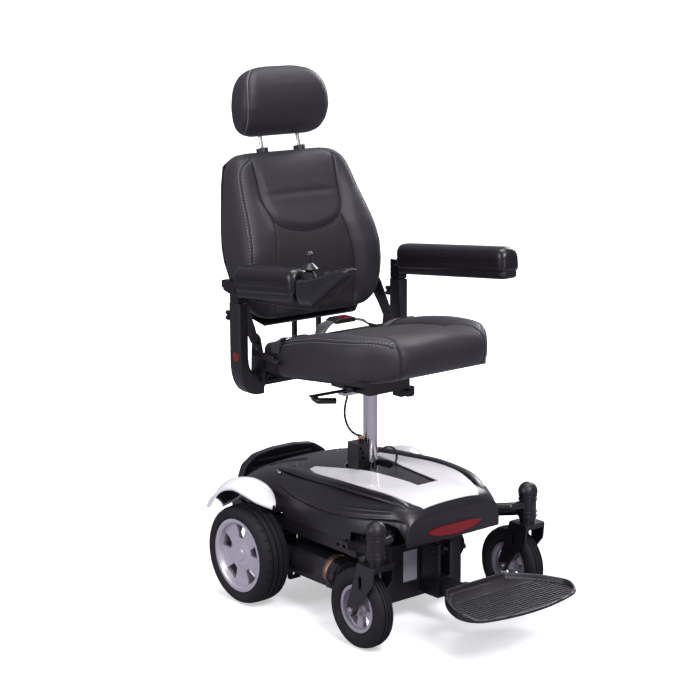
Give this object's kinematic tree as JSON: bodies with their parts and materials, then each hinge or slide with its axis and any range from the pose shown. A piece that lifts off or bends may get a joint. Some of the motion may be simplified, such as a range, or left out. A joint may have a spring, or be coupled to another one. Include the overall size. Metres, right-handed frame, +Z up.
{
  "type": "power wheelchair",
  "caption": "Power wheelchair with a lifting, swivelling padded seat, headrest, flip-up armrests, joystick, drive wheels, swivel casters and a fold-up footplate.",
  "frame": {"origin": "middle of the bounding box, on the floor under the tyres", "axes": "+Z up, -Y the way the chair faces, +X the user's left, axles along X"},
  "size_m": [0.635, 1.0316, 1.3653],
  "materials": {
    "tyre_rubber": "matte, treaded",
    "rim_silver": "satin silver",
    "caster_rim_grey": "satin silver",
    "black_metal": "satin black powder coat",
    "black_plastic": "fine texture",
    "gloss_black": "soft gloss",
    "white_panel": "gloss white",
    "red_reflector": "prismatic lens",
    "amber_reflector": "prismatic lens",
    "battery_grey": "satin",
    "motor_black": "gloss black",
    "chrome": "polished",
    "bolt_steel": "zinc plated",
    "leatherette": "fine grain upholstery",
    "webbing": "woven",
    "pu_pad": "moulded, soft gloss",
    "cable_rubber": "smooth"
  },
  "bodies": {
    "base": {"chassis_frame": "black_metal", "battery_box": "black_plastic", "batteries": "battery_grey", "caster_arm_R": "black_metal", "caster_arm_L": "black_metal", "caster_caps": "black_plastic", "drive_unit_R": "motor_black", "drive_unit_L": "motor_black", "lift_column": "black_metal", "lift_block": "black_metal", "main_shroud": "black_plastic", "shroud_panel": "white_panel", "front_reflector": "red_reflector", "rear_guard": "black_plastic", "fender_R": "white_panel", "fender_L": "white_panel", "footrest_bracket": "black_metal", "lift_cable": "cable_rubber"},
    "lift": {"seat_post": "chrome"},
    "seat": {"seat_pan": "black_metal", "seat_cushion": "leatherette", "connector_box": "black_plastic", "lap_belt": "webbing", "belt_buckle": "black_plastic", "arm_cover_R": "black_plastic", "arm_cover_L": "black_plastic", "side_reflectors": "amber_reflector"},
    "buckle_key": {"buckle_button": "red_reflector"},
    "swivel_release": {"swivel_lever": "black_metal"},
    "recline_release": {"recline_lever": "black_metal"},
    "backrest": {"back_frame": "black_metal", "back_cushion": "leatherette", "headrest_guides": "black_plastic"},
    "headrest": {"headrest_rods": "chrome", "headrest_cushion": "leatherette"},
    "footrest": {"footrest_slider": "black_metal"},
    "foot_board": {"footplate": "black_plastic"},
    "stick_gimbal": {"joystick_gimbal": "black_metal"},
    "stick": {"joystick_stick": "gloss_black"},
    "speed_dial": {"speed_knob": "gloss_black"},
    "power_button": {"power_key": "gloss_black"},
    "drive_wheel_R": {"rear_tyre_R": "tyre_rubber", "rear_rim_R": "rim_silver"},
    "caster_R": {"caster_fork_R": "black_metal", "caster_axle_R": "bolt_steel"},
    "caster_wheel_R": {"caster_tyre_R": "tyre_rubber", "caster_rim_R": "caster_rim_grey"},
    "arm_height_R": {"arm_post_R": "black_metal"},
    "armrest_R": {"arm_rest_R": "pu_pad", "joystick_pod": "gloss_black"},
    "height_knob_R": {"arm_knob_R": "black_plastic"},
    "drive_wheel_L": {"rear_tyre_L": "tyre_rubber", "rear_rim_L": "rim_silver"},
    "caster_L": {"caster_fork_L": "black_metal", "caster_axle_L": "bolt_steel"},
    "caster_wheel_L": {"caster_tyre_L": "tyre_rubber", "caster_rim_L": "caster_rim_grey"},
    "arm_height_L": {"arm_post_L": "black_metal"},
    "armrest_L": {"arm_rest_L": "pu_pad"},
    "height_knob_L": {"arm_knob_L": "black_plastic"}
  },
  "joints": [
    {"name": "drive_wheel_spin_R", "type": "hinge", "parent": "base", "child": "drive_wheel_R", "pos_m": [-0.273, 0.276, 0.13], "axis": [1, 0, 0], "continuous": true},
    {"name": "caster_swivel_R", "type": "hinge", "parent": "base", "child": "caster_R", "pos_m": [-0.256, -0.2165, 0.26], "axis": [0, 0, 1], "continuous": true},
    {"name": "caster_wheel_spin_R", "type": "hinge", "parent": "caster_R", "child": "caster_wheel_R", "pos_m": [-0.256, -0.164, 0.1], "axis": [1, 0, 0], "continuous": true},
    {"name": "drive_wheel_spin_L", "type": "hinge", "parent": "base", "child": "drive_wheel_L", "pos_m": [0.273, 0.276, 0.13], "axis": [1, 0, 0], "continuous": true},
    {"name": "caster_swivel_L", "type": "hinge", "parent": "base", "child": "caster_L", "pos_m": [0.256, -0.2165, 0.26], "axis": [0, 0, 1], "continuous": true},
    {"name": "caster_wheel_spin_L", "type": "hinge", "parent": "caster_L", "child": "caster_wheel_L", "pos_m": [0.256, -0.164, 0.1], "axis": [1, 0, 0], "continuous": true},
    {"name": "seat_lift", "type": "slide", "parent": "base", "child": "lift", "axis": [0, 0, 1], "range_m": [-0.115, 0], "deforming": ["lift_cable"]},
    {"name": "seat_swivel", "type": "hinge", "parent": "lift", "child": "seat", "pos_m": [0, 0.106, 0.56], "axis": [0, 0, 1], "range_deg": [-90, 90]},
    {"name": "swivel_release_turn", "type": "hinge", "parent": "seat", "child": "swivel_release", "pos_m": [-0.088, 0.086, 0.573], "axis": [0, 0, 1], "range_deg": [0, 14]},
    {"name": "recline", "type": "hinge", "parent": "seat", "child": "backrest", "pos_m": [0, 0.296, 0.69], "axis": [1, 0, 0], "range_deg": [-28, 55]},
    {"name": "recline_release_pull", "type": "hinge", "parent": "seat", "child": "recline_release", "pos_m": [-0.242, 0.278, 0.66], "axis": [-1, 0, 0], "range_deg": [0, 20]},
    {"name": "headrest_height", "type": "slide", "parent": "backrest", "child": "headrest", "axis": [0, 0.2588, 0.9659], "range_m": [0, 0.06]},
    {"name": "arm_height_slide_R", "type": "slide", "parent": "seat", "child": "arm_height_R", "axis": [0, 0, 1], "range_m": [0, 0.06]},
    {"name": "armrest_flip_R", "type": "hinge", "parent": "arm_height_R", "child": "armrest_R", "pos_m": [-0.27, 0.306, 0.823], "axis": [-1, 0, 0], "range_deg": [0, 90]},
    {"name": "height_knob_turn_R", "type": "hinge", "parent": "seat", "child": "height_knob_R", "pos_m": [-0.27, 0.336, 0.752], "axis": [0, 1, 0], "continuous": true},
    {"name": "arm_height_slide_L", "type": "slide", "parent": "seat", "child": "arm_height_L", "axis": [0, 0, 1], "range_m": [0, 0.06]},
    {"name": "armrest_flip_L", "type": "hinge", "parent": "arm_height_L", "child": "armrest_L", "pos_m": [0.27, 0.306, 0.823], "axis": [-1, 0, 0], "range_deg": [0, 90]},
    {"name": "height_knob_turn_L", "type": "hinge", "parent": "seat", "child": "height_knob_L", "pos_m": [0.27, 0.336, 0.752], "axis": [0, 1, 0], "continuous": true},
    {"name": "stick_forward", "type": "hinge", "parent": "armrest_R", "child": "stick_gimbal", "pos_m": [-0.27, 0.014, 0.893], "axis": [1, 0, 0], "range_deg": [-18, 18]},
    {"name": "stick_sideways", "type": "hinge", "parent": "stick_gimbal", "child": "stick", "pos_m": [-0.27, 0.014, 0.893], "axis": [0, 1, 0], "range_deg": [-18, 18]},
    {"name": "speed_dial_turn", "type": "hinge", "parent": "armrest_R", "child": "speed_dial", "pos_m": [-0.27, -0.056, 0.9074], "axis": [0, 0.284, 0.9588], "range_deg": [-135, 135]},
    {"name": "power_button_press", "type": "slide", "parent": "armrest_R", "child": "power_button", "axis": [0, -0.284, -0.9588], "range_m": [0, 0.0015]},
    {"name": "footrest_length", "type": "slide", "parent": "base", "child": "footrest", "axis": [0, -1, 0], "range_m": [0, 0.04]},
    {"name": "footplate_flip", "type": "hinge", "parent": "footrest", "child": "foot_board", "pos_m": [0, -0.28, 0.118], "axis": [-1, 0, 0], "range_deg": [0, 88]},
    {"name": "buckle_press", "type": "slide", "parent": "seat", "child": "buckle_key", "axis": [0, 0, -1], "range_m": [0, 0.002]}
  ]
}
